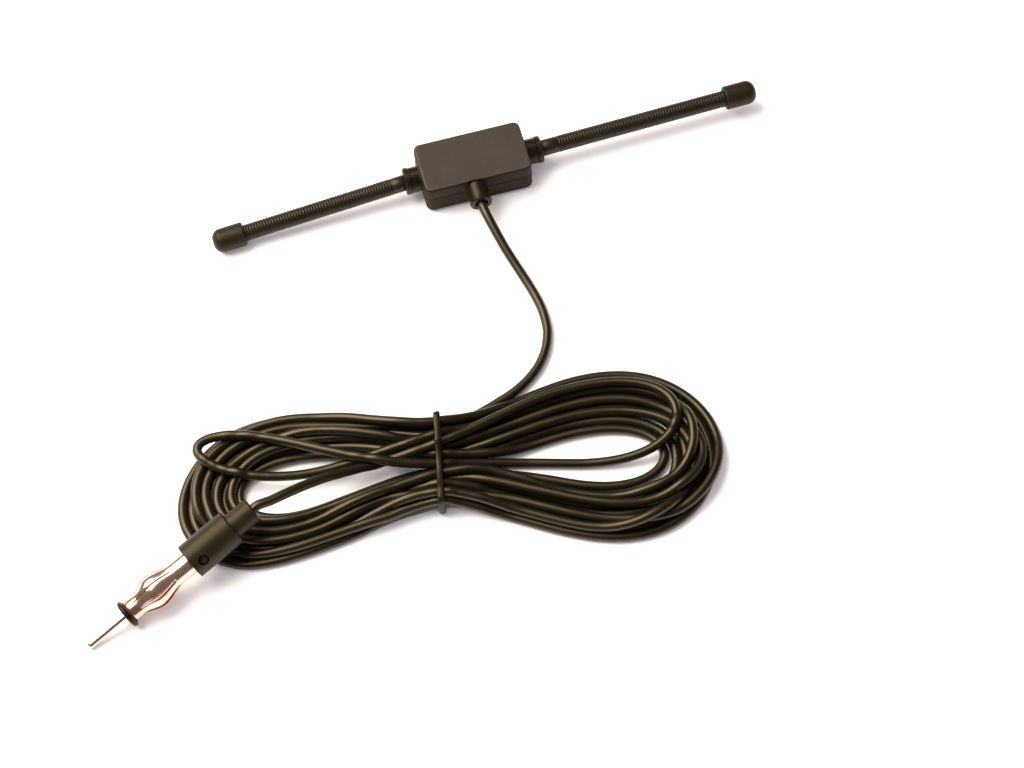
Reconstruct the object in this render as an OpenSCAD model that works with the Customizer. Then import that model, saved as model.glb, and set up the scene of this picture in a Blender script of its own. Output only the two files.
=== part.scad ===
// Windscreen radio antenna: a small housing with two ribbed arms, a cable in a hank and an aerial plug.
// X runs along the arms, the cable leaves towards -Y, and the housing stands on z = 0.

/* [Housing] */
// Length of the housing along the arms
box_l = 45.5; // [38:0.5:60]
// Depth of the housing, front to back
box_w = 24; // [20:0.5:34]
// Height of the housing
box_h = 16.4; // [15.4:0.2:20]
// Height of the plane where the two covers meet, which is also the axis of the arms
part_z = 9.2; // [8.6:0.1:9.8]
// Wall thickness of both covers
wall = 1.6; // [1.2:0.1:2]
// Corner radius in plan
corner_r = 2.8; // [2.6:0.1:4]
// Rounding of the top edges
top_r = 1.3; // [0.5:0.1:2]
// Rounding of the bottom edges
bottom_r = 2.4; // [0.5:0.1:2.5]
// Height of the shadow groove at the parting plane
groove_h = 0.35; // [0.2:0.05:0.6]
// Depth of the shadow groove at the parting plane
groove_d = 0.4; // [0.2:0.05:0.5]
// Height of the locating lip inside the covers
lip_h = 1.2; // [0.6:0.1:2]

/* [Arm sockets] */
// Radius of the round stub at each end of the housing
stub_r = 5.4; // [5:0.1:6.2]
// How far each stub stands out of the housing
stub_l = 4.2; // [2:0.1:6]
// Radius of the hole through each stub
stub_bore_r = 3.9; // [3.4:0.1:4.2]
// Radius of the collar's flange
flange_r = 5.7; // [5.2:0.1:6.6]
// Thickness of the collar's flange
flange_t = 2.1; // [1:0.1:3]
// Gap between a stub and its flange
flange_gap = 0.35; // [0.2:0.05:0.8]
// Radius of the collar's inner retaining ring
retainer_r = 4.9; // [4.6:0.1:5.4]
// Thickness of each retaining ring inside the housing
retainer_t = 1.2; // [0.8:0.1:1.6]

/* [Arms] */
// Outer radius of the ribs
rib_r = 3.5; // [3:0.1:4]
// Depth of the grooves between the ribs
rib_depth = 0.45; // [0.2:0.05:0.7]
// Distance from rib to rib
rib_pitch = 1.2; // [1:0.05:2]
// Ribs on the right arm
right_ribs = 61; // [20:1:80]
// Ribs on the left arm
left_ribs = 53; // [20:1:80]
// Length of the right arm's smooth root before the ribs
right_root_l = 7.4; // [3:0.1:12]
// Length of the left arm's smooth root before the ribs
left_root_l = 5.8; // [3:0.1:12]
// Radius of the bore through an arm
arm_bore_r = 1.3; // [1.2:0.05:2]
// Radius of the core rod inside an arm
core_r = 1; // [0.6:0.05:1]
// Droop of the left arm, in degrees
left_droop = 2.8; // [0:0.1:3]
// Swing of the left arm towards the front, in degrees
left_swing = 2.8; // [0:0.1:3]
// Swing of the right arm towards the back, in degrees
right_swing = 1.9; // [0:0.1:3]

/* [End caps] */
// Radius of an end cap
cap_r = 5; // [4.6:0.1:7]
// Length of an end cap
cap_l = 13.5; // [11:0.1:20]
// Rounding of the cap's outer end
cap_round = 3.8; // [1:0.1:4.4]
// How far the arm goes into the cap
cap_grip = 5; // [3:0.1:7]

/* [Cable gland] */
// Radius of the gland
gland_r = 4.4; // [4:0.1:4.6]
// How far the gland stands out of the front
gland_l = 8.5; // [3:0.1:10]
// Place of the gland along the front
gland_x = -1.5; // [-6:0.1:6]
// Height of the gland's axis
gland_z = 11.4; // [10.8:0.1:11.8]
// Radius of the gland's neck in the wall
neck_r = 3.5; // [3.2:0.1:3.8]
// Radius of the hole through the gland
gland_bore_r = 2.8; // [2.3:0.1:3]
// Rounding of the gland's front rim
gland_round = 0.8; // [0.3:0.1:1.2]

/* [Circuit board] */
// Length of the board
board_l = 30; // [26:0.5:32]
// Width of the board
board_w = 15; // [14:0.5:16]
// Thickness of the board
board_t = 1.6; // [0.8:0.1:1.6]
// Height of the posts that carry the board
post_h = 2.8; // [2:0.1:3.2]
// Radius of those posts
post_r = 1.8; // [1.5:0.1:2.2]
// Radius of the locating pegs on the posts
peg_r = 0.9; // [0.6:0.05:1]

/* [Plug] */
// Radius of the contact pin
pin_r = 1.6; // [1.5:0.05:1.8]
// Length of the pin in front of the washer
pin_l = 18.5; // [14:0.5:24]
// Radius of the washer
washer_r = 5.8; // [4.8:0.1:5.8]
// Thickness of the washer
washer_t = 2; // [1.2:0.1:3]
// Radius of the spring shell's neck at the washer
neck_shell_r = 4.5; // [3.4:0.1:4.8]
// Radius of the spring shell's bulge
bulge_r = 7.1; // [5.6:0.1:7.4]
// Radius of the spring shell's straight rear part
shell_r = 4.75; // [4.4:0.05:5]
// Wall thickness of the spring shell
shell_t = 0.6; // [0.4:0.05:0.8]
// Length of the neck behind the washer
neck_l = 3.8; // [1.5:0.1:5]
// Length from the neck to the widest place
bulge_front_l = 8.7; // [5:0.1:10]
// Length from the widest place to the straight part
bulge_rear_l = 11; // [8:0.1:16]
// Visible length of the straight part
shell_rear_l = 6.5; // [5:0.1:12]
// Slits round the spring shell
slit_count = 8; // [4:1:8]
// Width of a slit
slit_w = 0.7; // [0.5:0.1:1.4]
// Length of a slit
slit_l = 17.2; // [10:0.1:18]
// Radius of the main sleeve
sleeve_r = 7.3; // [6.6:0.05:8]
// Length of the main sleeve
sleeve_l = 20.9; // [18:0.1:28]
// Rounding of the main sleeve's rear edge
sleeve_round = 0.7; // [0.4:0.1:1.6]
// Radius of the rear sleeve
rear_r = 5.1; // [4.4:0.02:5.2]
// Length of the rear sleeve
rear_l = 10.4; // [6:0.1:16]
// Radius of the recess in the main sleeve
recess_r = 2.1; // [1.5:0.1:2.2]
// Radius of the snap nub in the recess
nub_r = 1.5; // [0.8:0.1:1.6]
// Turn of the recess round the plug, in degrees
nub_turn = 49; // [0:1:90]

/* [Cable] */
// Diameter of the cable
cable_d = 3.9; // [3:0.1:3.9]
// Height of the hank
hank_h = 11; // [9:0.5:14]
// Width of the tie round the hank
tie_w = 2.6; // [2:0.1:5]
// Thickness of the tie
tie_t = 1.3; // [0.8:0.1:1.4]

/* [Hidden] */
$fn = 48;

fit = 0.3;
slip = 0.15;
over = 1;
cable_r = cable_d / 2;
half_l = box_l / 2;
half_w = box_w / 2;
inner_l = box_l - 2 * wall;
inner_w = box_w - 2 * wall;
inner_corner_r = corner_r - wall;
flange_x = half_l + stub_l + flange_gap;
arm_x = flange_x + flange_t;
flange_chamfer = 0.6;
spigot_r = stub_bore_r - fit;
collar_bore_r = core_r + 2 * fit;
arm_pivot_x = half_l + stub_l / 2;
board_z = wall + post_h;
board_top = board_z + board_t;
peg_inset = 3;
peg_over = 0.5;
peg_x = board_l / 2 - peg_inset;
peg_y = board_w / 2 - peg_inset;
collar_end_x = half_l - wall - retainer_t;
core_stand_out = 0.8;
core_end_x = collar_end_x - core_stand_out;
core_reach = 3;
cap_rear_round = 0.8;
contact_w = 4;
contact_t = 1.2;
contact_rise = 0.6;
contact_x = core_end_x - fit - contact_t;
clamp_l = 4;
clamp_w = 5.2;
clamp_gap = 3.2;
clamp_y = -half_w + wall + retainer_t + clamp_gap;
gland_back_y = -half_w + wall + retainer_t;

// Places along the plug's axis, counted from the tip of the pin
washer_x = pin_l;
neck_x = washer_x + washer_t;
bulge_x0 = neck_x + neck_l;
bulge_x1 = bulge_x0 + bulge_front_l;
bulge_x2 = bulge_x1 + bulge_rear_l;
sleeve_x = bulge_x2 + shell_rear_l;
sleeve_end_x = sleeve_x + sleeve_l;
plug_end_x = sleeve_end_x + rear_l;
lip_t = 2;
carrier_inset = 1.35;
step_depth = 8.3;
nub_depth = 4.7;
nub_root = 1.2;
nub_sink = 0.4;
rear_round = 0.7;
tail_clear = 2.8;
carrier_x = sleeve_x + lip_t + fit;
carrier_r = sleeve_r - carrier_inset;
carrier_end_x = sleeve_end_x - lip_t - fit;
step_x = sleeve_x + step_depth;
nub_x = sleeve_x + nub_depth;
pin_tail_r = pin_r - fit;
pin_end_x = step_x - tail_clear;
slit_inset = 0.5;
slit_x = bulge_x0 + slit_inset;
plug_tip = [-195.4, -165.4, 1.6];
plug_turn = 22.8;
plug_rise = 12.5;

// The cable's route from the housing to the hank, in round numbers
lead_points = [[gland_x, clamp_y, gland_z], [gland_x, -half_w, gland_z],
    [gland_x, -half_w - gland_l, gland_z], [-0.6, -27, 10.8], [1, -34, 9], [2.8, -41, 7], [5, -48, 5],
    [7.2, -55, 3.4], [9, -61.5, 2.4], [10.2, -68, 2], [10.5, -74, 2], [10, -80, 2], [8.6, -86, 2],
    [6.2, -91.5, 2], [3.6, -96, 2], [2, -100, 2], [2, -102.3, 2]];
// The cable's route from the hank's middle to the plug
tail_points = [[-74.6, -126.5, 8.4], [-82, -127.6, 9.6], [-90, -129.4, 11.6], [-98, -131.4, 14],
    [-106, -132.4, 16], [-114, -132.4, 17.8]];
// The outer edge of the hank, round both lobes
hank_points = [[-46, -109], [-75, -99], [-100, -89], [-125, -89], [-142, -99], [-152, -119],
    [-150, -134], [-138, -147], [-112, -152], [-80, -148], [-50, -148], [-24, -159], [4, -177],
    [22, -182], [42, -178], [58, -161], [65, -140], [58, -120], [40, -106], [20, -103.2], [-14, -103.2]];
// The openings inside the two lobes
left_gap_points = [[-76, -120], [-76, -132], [-95, -136], [-116, -134], [-128, -124], [-118, -109],
    [-96, -108]];
right_gap_points = [[-26, -122], [8, -117], [36, -119], [44, -130], [24, -136], [-14, -132]];
tie_x = -47;
tie_y = -128.5;
tie_turn = -13;
tie_span = 39.6;
tie_round = 2.7;

function curve_at(a, b, c, d, t) =
    0.5 * (2 * b + (c - a) * t + (2 * a - 5 * b + 4 * c - d) * t * t + (3 * b - a - 3 * c + d) * t * t * t);
function closed_curve(p, n) = let (m = len(p))
    [for (i = [0:m - 1]) for (k = [0:n - 1])
        curve_at(p[(i + m - 1) % m], p[i], p[(i + 1) % m], p[(i + 2) % m], k / n)];
function open_curve(p, n) = let (m = len(p)) concat(
    [for (i = [0:m - 2]) for (k = [0:n - 1])
        curve_at(p[max(i - 1, 0)], p[i], p[i + 1], p[min(i + 2, m - 1)], k / n)], [p[m - 1]]);
function unit(v) = v / norm(v);

// A round tube along a list of points, closed at both ends
module tube_along(p, r, sides = 8) {
    m = len(p);
    rings = [for (i = [0:m - 1])
        let (t = unit(p[min(i + 1, m - 1)] - p[max(i - 1, 0)]),
            side = unit(cross(t, [0, 0, 1])), up = cross(side, t))
        for (j = [0:sides - 1]) p[i] + r * (cos(360 * j / sides) * side + sin(360 * j / sides) * up)];
    walls = [for (i = [0:m - 2]) for (j = [0:sides - 1])
        [i * sides + j, i * sides + (j + 1) % sides, (i + 1) * sides + (j + 1) % sides, (i + 1) * sides + j]];
    polyhedron(rings, concat(walls, [[for (j = [sides - 1:-1:0]) j]],
        [[for (j = [0:sides - 1]) (m - 1) * sides + j]]), convexity = 10);
}

// A rectangle with round corners, centred
module round_rect(l, w, r) {
    square([l - 2 * r, w], center = true);
    square([l, w - 2 * r], center = true);
    for (x = [-1, 1], y = [-1, 1]) translate([x * (l / 2 - r), y * (w / 2 - r)]) circle(r);
}

// Half of a wall's outline: a rectangle from the axis outwards with its outer top corner rounded
module round_profile(a, h, r) {
    intersection() {
        square([a, h]);
        union() {
            square([a, h - r]);
            square([a - r, h]);
            translate([a - r, h - r]) circle(r);
        }
    }
}

module full_profile(a, h, r) {
    round_profile(a, h, r);
    mirror([1, 0]) round_profile(a, h, r);
}

// A block that stands on its open face at z = 0, with its top edges and its plan corners rounded
module cover_block(h, r) {
    rotate([90, 0, 90]) translate([0, 0, corner_r - half_l])
        linear_extrude(box_l - 2 * corner_r) full_profile(half_w, h, r);
    rotate([90, 0, 0]) translate([0, 0, corner_r - half_w])
        linear_extrude(box_w - 2 * corner_r) full_profile(half_l, h, r);
    for (x = [-1, 1], y = [-1, 1]) translate([x * (half_l - corner_r), y * (half_w - corner_r), 0])
        rotate_extrude() round_profile(corner_r, h, r);
}

// Both halves of a round stub, kept above or below the parting plane
module half_stub(side, up) {
    intersection() {
        translate([side * (half_l - wall / 2), 0, part_z]) rotate([0, side * 90, 0])
            cylinder(r = stub_r, h = stub_l + wall / 2);
        translate([side * half_l, 0, part_z + up * stub_r])
            cube([4 * stub_l + 4 * wall, 4 * stub_r, 2 * stub_r], center = true);
    }
}

module stub_bores() {
    for (side = [-1, 1]) translate([side * (half_l - wall - over), 0, part_z]) rotate([0, side * 90, 0])
        cylinder(r = stub_bore_r, h = wall + stub_l + 2 * over);
}

module gland_notch() {
    translate([gland_x, -half_w - over, gland_z]) rotate([-90, 0, 0])
        cylinder(r = neck_r + slip, h = wall + 2 * over);
    translate([gland_x - neck_r - slip, -half_w - over, part_z]) cube([2 * (neck_r + slip), wall + 2 * over,
        gland_z - part_z]);
}

// The space of the locating lip, grown by a clearance
module lip_space(gap) {
    difference() {
        translate([0, 0, part_z - over]) linear_extrude(lip_h + over + gap)
            round_rect(inner_l + wall + 2 * gap, inner_w + wall + 2 * gap, inner_corner_r + wall / 2 + gap);
        translate([0, 0, part_z - 2 * over]) linear_extrude(lip_h + 4 * over)
            round_rect(inner_l, inner_w, inner_corner_r);
    }
}

module upper_cover() {
    color([0.33, 0.30, 0.27]) difference() {
        union() {
            translate([0, 0, part_z]) cover_block(box_h - part_z, min(top_r, corner_r - slip));
            for (side = [-1, 1]) half_stub(side, 1);
        }
        translate([0, 0, part_z - over]) linear_extrude(box_h - part_z - wall + over)
            round_rect(inner_l, inner_w, inner_corner_r);
        stub_bores();
        gland_notch();
        lip_space(slip);
        difference() {
            translate([0, 0, part_z - over]) linear_extrude(over + groove_h)
                square([box_l + over, box_w + over], center = true);
            translate([0, 0, part_z - 2 * over]) linear_extrude(4 * over)
                round_rect(box_l - 2 * groove_d, box_w - 2 * groove_d, corner_r - groove_d);
            for (side = [-1, 1]) translate([side * (half_l + stub_l / 2), 0, part_z])
                cube([stub_l + 2 * wall, 2 * stub_r - slip, 4 * over], center = true);
        }
    }
}

module lower_cover() {
    color([0.27, 0.24, 0.18]) difference() {
        union() {
            translate([0, 0, part_z]) mirror([0, 0, 1]) cover_block(part_z, min(bottom_r, corner_r - slip));
            for (side = [-1, 1]) half_stub(side, -1);
            difference() {
                lip_space(0);
                for (side = [-1, 1]) translate([side * half_l, 0, part_z + lip_h])
                    cube([4 * wall, 2 * (retainer_r + fit), 4 * lip_h], center = true);
                translate([gland_x, -half_w, part_z + lip_h])
                    cube([2 * (gland_r + fit), 4 * wall, 4 * lip_h], center = true);
            }
        }
        difference() {
            translate([0, 0, wall]) linear_extrude(part_z) round_rect(inner_l, inner_w, inner_corner_r);
            for (x = [-1, 1], y = [-1, 1]) translate([x * peg_x, y * peg_y, 0]) {
                cylinder(r = post_r, h = board_z);
                cylinder(r = peg_r, h = board_top + peg_over);
            }
        }
        stub_bores();
        gland_notch();
    }
}

module circuit_board() {
    color([0.10, 0.35, 0.22]) difference() {
        translate([-board_l / 2, -board_w / 2, board_z]) cube([board_l, board_w, board_t]);
        for (x = [-1, 1], y = [-1, 1]) translate([x * peg_x, y * peg_y, board_z - over])
            cylinder(r = peg_r + slip, h = board_t + 2 * over);
    }
}

// A ferrite block with two holes on the board
module matching_core() {
    core_l = 6;
    core_w = 4;
    core_h = 4.6;
    wire_hole_r = 0.8;
    core_margin = 2;
    color([0.20, 0.20, 0.21]) difference() {
        translate([-core_l / 2, board_w / 2 - core_w - core_margin, board_top])
            cube([core_l, core_w, core_h]);
        for (x = [-1, 1]) translate([x * core_l / 4, board_w / 2, board_top + core_h / 2])
            rotate([90, 0, 0]) cylinder(r = wire_hole_r, h = board_w);
    }
}

// The brass block on the board that the arm's core rod meets
module contact_block(side) {
    color([0.80, 0.66, 0.34]) translate([side > 0 ? contact_x : -contact_x - contact_t, -contact_w / 2,
        board_top]) cube([contact_t, contact_w, part_z + core_r + contact_rise - board_top]);
}

module left_contact() { contact_block(-1); }
module right_contact() { contact_block(1); }

// The clamp on the board that holds the end of the cable
module cable_clamp() {
    color([0.72, 0.72, 0.70]) translate([gland_x - clamp_w / 2, clamp_y, board_top])
        cube([clamp_w, clamp_l, gland_z + cable_r - board_top]);
}

// A flange outside the stub, a spigot through it and a retaining ring behind the wall
module arm_collar(side) {
    color([0.20, 0.18, 0.14]) translate([0, 0, part_z]) rotate([0, side * 90, 0]) difference() {
        union() {
            translate([0, 0, flange_x]) rotate_extrude() difference() {
                square([flange_r, flange_t]);
                translate([flange_r, flange_t]) rotate(45) square(flange_chamfer, center = true);
            }
            translate([0, 0, collar_end_x])
                cylinder(r = spigot_r, h = flange_x - collar_end_x + flange_t / 2);
            translate([0, 0, collar_end_x]) cylinder(r = retainer_r, h = retainer_t);
        }
        translate([0, 0, collar_end_x - over]) cylinder(r = collar_bore_r, h = arm_x);
    }
}

module left_collar() { arm_collar(-1); }
module right_collar() { arm_collar(1); }

// The left arm sags to the ground and swings forward, the right one swings back a little
module place_arm(side) {
    translate([side * arm_pivot_x, 0, part_z]) rotate([0, 0, side < 0 ? left_swing : right_swing])
        rotate([0, side < 0 ? -left_droop : 0, 0]) rotate([0, side * 90, 0]) translate([0, 0, -arm_pivot_x])
        children();
}

function arm_end(ribs, root_l) = arm_x + root_l + ribs * rib_pitch;

// A smooth root, the ribs and a smooth end that goes into the cap
module arm_tube(side, ribs, root_l) {
    start = arm_x + fit;
    root_end = arm_x + root_l;
    tip = arm_end(ribs, root_l);
    root_step = 0.1;
    root_r = rib_r - root_step;
    groove_r = rib_r - rib_depth;
    flank = rib_pitch / 5;
    outline = concat([[arm_bore_r, start], [root_r, start], [root_r, root_end]],
        [for (i = [0:ribs - 1], k = [0:2]) [[groove_r, rib_r, rib_r][k],
            root_end + i * rib_pitch + [0, flank, rib_pitch - flank][k]]],
        [[groove_r, tip], [groove_r, tip + cap_grip], [arm_bore_r, tip + cap_grip]]);
    color([0.22, 0.19, 0.14]) place_arm(side) rotate_extrude() polygon(outline);
}

module left_arm() { arm_tube(-1, left_ribs, left_root_l); }
module right_arm() { arm_tube(1, right_ribs, right_root_l); }

module arm_core(side, tip) {
    color([0.62, 0.62, 0.60]) place_arm(side) translate([0, 0, core_end_x])
        cylinder(r = core_r, h = tip + cap_grip + core_reach - core_end_x);
}

module left_core() { arm_core(-1, arm_end(left_ribs, left_root_l)); }
module right_core() { arm_core(1, arm_end(right_ribs, right_root_l)); }

// A cap with a rounded end, a seat for the arm and a blind hole for its core rod
module end_cap(side, tip) {
    color([0.24, 0.21, 0.16]) place_arm(side) translate([0, 0, tip]) difference() {
        rotate_extrude() intersection() {
            round_profile(cap_r, cap_l, cap_round);
            translate([0, cap_l]) mirror([0, 1]) round_profile(cap_r, cap_l, cap_rear_round);
        }
        translate([0, 0, -over]) cylinder(r = rib_r - rib_depth + slip, h = cap_grip + over);
        cylinder(r = core_r + slip, h = cap_grip + core_reach + fit);
    }
}

module left_cap() { end_cap(-1, arm_end(left_ribs, left_root_l)); }
module right_cap() { end_cap(1, arm_end(right_ribs, right_root_l)); }

// A bushing held in the front wall by its neck and a ring behind the wall
module cable_gland() {
    color([0.22, 0.20, 0.15]) translate([gland_x, gland_back_y, gland_z]) rotate([90, 0, 0]) difference() {
        union() {
            intersection() {
                cylinder(r = gland_r, h = retainer_t);
                translate([-gland_r, -gland_r, 0])
                    cube([2 * gland_r, gland_r + box_h - wall - fit - gland_z, retainer_t]);
            }
            translate([0, 0, retainer_t / 2]) cylinder(r = neck_r, h = retainer_t / 2 + wall + gland_l / 2);
            translate([0, 0, retainer_t + wall]) rotate_extrude()
                round_profile(gland_r, gland_l, gland_round);
        }
        translate([0, 0, -over]) cylinder(r = gland_bore_r, h = gland_l + wall + retainer_t + 2 * over);
    }
}

module cable_lead() {
    color([0.23, 0.20, 0.14]) tube_along(open_curve(lead_points, 2), cable_r);
}

module place_plug() {
    translate(plug_tip) rotate([0, -plug_rise, plug_turn]) rotate([0, 90, 0]) children();
}

module cable_tail() {
    entry_depth = 4;
    entry_lead = 3;
    axis = [cos(plug_rise) * cos(plug_turn), cos(plug_rise) * sin(plug_turn), sin(plug_rise)];
    plug_entry = [plug_tip + axis * (plug_end_x + entry_lead), plug_tip + axis * plug_end_x,
        plug_tip + axis * (plug_end_x - entry_depth)];
    color([0.23, 0.20, 0.14]) tube_along(open_curve(concat(tail_points, plug_entry), 2), cable_r);
}

// The ring of space round the hank's middle where the tie lies
module tie_ring(inner_gap) {
    translate([tie_x, tie_y, hank_h / 2]) rotate([90, 0, 90 + tie_turn])
        linear_extrude(tie_w + 2 * inner_gap, center = true)
        difference() {
            round_rect(tie_span + 4 * inner_gap, hank_h + 4 * inner_gap, tie_round);
            round_rect(tie_span - 2 * (tie_t + inner_gap), hank_h - 2 * (tie_t + inner_gap),
                tie_round - tie_t / 2);
        }
}

// The outer shape of all the turns, with the two lobes open and room for the tie and the plug
module cable_hank() {
    color([0.21, 0.18, 0.13]) difference() {
        linear_extrude(hank_h) difference() {
            polygon(closed_curve(hank_points, 4));
            polygon(closed_curve(left_gap_points, 4));
            polygon(closed_curve(right_gap_points, 4));
        }
        tie_ring(slip);
        place_plug() translate([0, 0, sleeve_x - over]) cylinder(r = sleeve_r + fit, h = sleeve_l + 2 * over);
        place_plug() translate([0, 0, neck_x]) cylinder(r = bulge_r + fit, h = sleeve_x - neck_x);
    }
}

module hank_tie() {
    color([0.19, 0.17, 0.12]) tie_ring(0);
}

// Length along the plug's axis runs from the tip of the pin backwards
module plug_part() {
    place_plug() rotate_extrude() children();
}

function shell_outer(x) = x < bulge_x0 ? neck_shell_r
    : x < bulge_x1
    ? neck_shell_r + (bulge_r - neck_shell_r) * (1 - cos(180 * (x - bulge_x0) / bulge_front_l)) / 2
    : x < bulge_x2 ? shell_r + (bulge_r - shell_r) * (1 + cos(180 * (x - bulge_x1) / bulge_rear_l)) / 2
    : shell_r;

// The slit spring shell
module plug_shell() {
    steps = 7;
    stations = concat([neck_x, bulge_x0], [for (i = [1:steps]) bulge_x0 + bulge_front_l * i / steps],
        [for (i = [1:steps]) bulge_x1 + bulge_rear_l * i / steps], [step_x]);
    outer = [for (x = stations) [shell_outer(x), x]];
    inner = [for (i = [len(stations) - 1:-1:0]) [shell_outer(stations[i]) - shell_t, stations[i]]];
    color([0.78, 0.74, 0.70]) difference() {
        plug_part() polygon(concat(outer, inner));
        place_plug() for (i = [0:slit_count - 1]) rotate(360 * i / slit_count)
            translate([0, -slit_w / 2, slit_x]) cube([bulge_r + over, slit_w, slit_l]);
    }
}

module plug_sleeve() {
    color([0.29, 0.26, 0.20]) difference() {
        place_plug() difference() {
            translate([0, 0, sleeve_x]) rotate_extrude() round_profile(sleeve_r, sleeve_l, sleeve_round);
            translate([0, 0, sleeve_x - over]) cylinder(r = shell_r + fit, h = lip_t + 2 * over);
            translate([0, 0, sleeve_x + lip_t]) cylinder(r = carrier_r + fit, h = sleeve_l - 2 * lip_t);
            translate([0, 0, sleeve_end_x - lip_t - over]) cylinder(r = rear_r + fit, h = lip_t + 2 * over);
        }
        place_nub(carrier_r, recess_r, sleeve_r);
    }
}

// A round bar that leaves the plug's axis sideways at the recess
module place_nub(from, r, h) {
    place_plug() translate([0, 0, nub_x]) rotate(nub_turn) rotate([0, -90, 0]) translate([0, 0, from])
        cylinder(r = r, h = h);
}

module plug_carrier() {
    color([0.25, 0.22, 0.17]) difference() {
        union() {
            place_plug() {
                translate([0, 0, carrier_x]) cylinder(r = carrier_r, h = carrier_end_x - carrier_x);
                translate([0, 0, carrier_x]) rotate_extrude()
                    round_profile(rear_r, plug_end_x - carrier_x, rear_round);
            }
            place_nub(carrier_r - nub_root, nub_r, nub_root + carrier_inset - nub_sink);
        }
        place_plug() {
            translate([0, 0, carrier_x - over]) cylinder(r = shell_r + fit, h = step_x - carrier_x + over);
            translate([0, 0, step_x - over]) cylinder(r = cable_r + fit, h = plug_end_x - step_x + 2 * over);
        }
    }
}

module plug_insulator() {
    insulator_r = shell_r - shell_t - fit;
    insulator_l = 12;
    color([0.12, 0.12, 0.11]) place_plug() difference() {
        translate([0, 0, step_x - insulator_l]) cylinder(r = insulator_r, h = insulator_l);
        translate([0, 0, step_x - insulator_l - over]) cylinder(r = pin_tail_r + slip,
            h = pin_end_x - step_x + insulator_l + over);
    }
}

module plug_washer() {
    washer_bore_r = pin_tail_r + slip;
    color([0.12, 0.11, 0.10]) plug_part() translate([0, washer_x + washer_t / 2]) intersection() {
        translate([(washer_r + washer_bore_r) / 2, 0])
            square([washer_r - washer_bore_r, washer_t], center = true);
        union() {
            translate([0, -washer_t / 2]) square([washer_r - washer_t / 2, washer_t]);
            translate([washer_r - washer_t / 2, 0]) circle(washer_t / 2);
        }
    }
}

module plug_pin() {
    color([0.80, 0.76, 0.72]) plug_part() {
        intersection() {
            translate([0, pin_r]) circle(pin_r);
            square([pin_r, pin_r]);
        }
        translate([0, pin_r]) square([pin_r, pin_l - pin_r]);
        translate([0, pin_l]) square([pin_tail_r, pin_end_x - pin_l]);
    }
}

upper_cover();
lower_cover();
circuit_board();
matching_core();
left_contact();
right_contact();
cable_clamp();
left_collar();
right_collar();
left_arm();
right_arm();
left_core();
right_core();
left_cap();
right_cap();
cable_gland();
cable_lead();
cable_hank();
hank_tie();
cable_tail();
plug_carrier();
plug_sleeve();
plug_shell();
plug_insulator();
plug_washer();
plug_pin();
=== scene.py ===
import math

import bmesh
import bpy
import numpy as np
from mathutils import Matrix, Vector


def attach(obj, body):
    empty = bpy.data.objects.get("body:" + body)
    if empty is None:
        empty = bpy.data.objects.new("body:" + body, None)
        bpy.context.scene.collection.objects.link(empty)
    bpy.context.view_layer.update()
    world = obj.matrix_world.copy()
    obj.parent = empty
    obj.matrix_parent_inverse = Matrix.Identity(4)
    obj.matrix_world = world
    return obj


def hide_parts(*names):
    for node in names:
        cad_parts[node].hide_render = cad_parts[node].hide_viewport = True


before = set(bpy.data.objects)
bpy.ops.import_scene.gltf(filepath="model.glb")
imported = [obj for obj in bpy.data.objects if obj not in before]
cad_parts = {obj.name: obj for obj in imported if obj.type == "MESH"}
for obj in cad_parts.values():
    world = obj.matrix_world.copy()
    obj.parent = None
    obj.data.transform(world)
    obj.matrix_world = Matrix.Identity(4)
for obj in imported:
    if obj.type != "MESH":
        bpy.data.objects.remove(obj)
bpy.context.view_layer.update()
MM = 0.001


# ---------------------------------------------------------------- camera
CAMERA_PLACE = (-0.1067, -0.5791, 0.9209)
CAMERA_RIGHT = (0.9657, -0.2576, -0.0328)
CAMERA_BACK = (-0.0928, -0.4602, 0.8830)
CAMERA_LENS, CAMERA_FILM = 91.41, 36


def make_camera():
    """The photograph's view, as seen by a long lens from above the cable's side."""
    right = Vector(CAMERA_RIGHT).normalized()
    back = Vector(CAMERA_BACK)
    back = (back - right * back.dot(right)).normalized()
    up = back.cross(right)
    turn = Matrix((right, up, back)).transposed().to_4x4()
    data = bpy.data.cameras.new("camera")
    data.lens, data.sensor_width, data.clip_end = CAMERA_LENS, CAMERA_FILM, 20
    camera = bpy.data.objects.new("camera", data)
    bpy.context.collection.objects.link(camera)
    camera.matrix_world = Matrix.Translation(CAMERA_PLACE) @ turn
    bpy.context.scene.camera = camera


make_camera()

# ---------------------------------------------------------------- the cable's route, in millimetres
CABLE_R = 1.95
CABLE_D = 2 * CABLE_R
# From the gland to the tie
LEAD = [(-1.5, -6, 11.4), (-1.5, -12, 11.4), (-1.5, -20.5, 11.4), (-0.6, -27, 10.8), (1, -34, 9),
        (2.8, -41, 7), (5, -48, 5), (7.2, -55, 3.4), (9, -61.5, 2.4), (10.2, -68, 2), (10.5, -74, 2),
        (10, -80, 2), (8.6, -86, 2), (6.2, -91.5, 2), (3.6, -96, 2), (0, -100.3, 2), (-6, -104, 2),
        (-13, -106, 2), (-24, -107.5, 2.4), (-34, -108.5, 3)]
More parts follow.
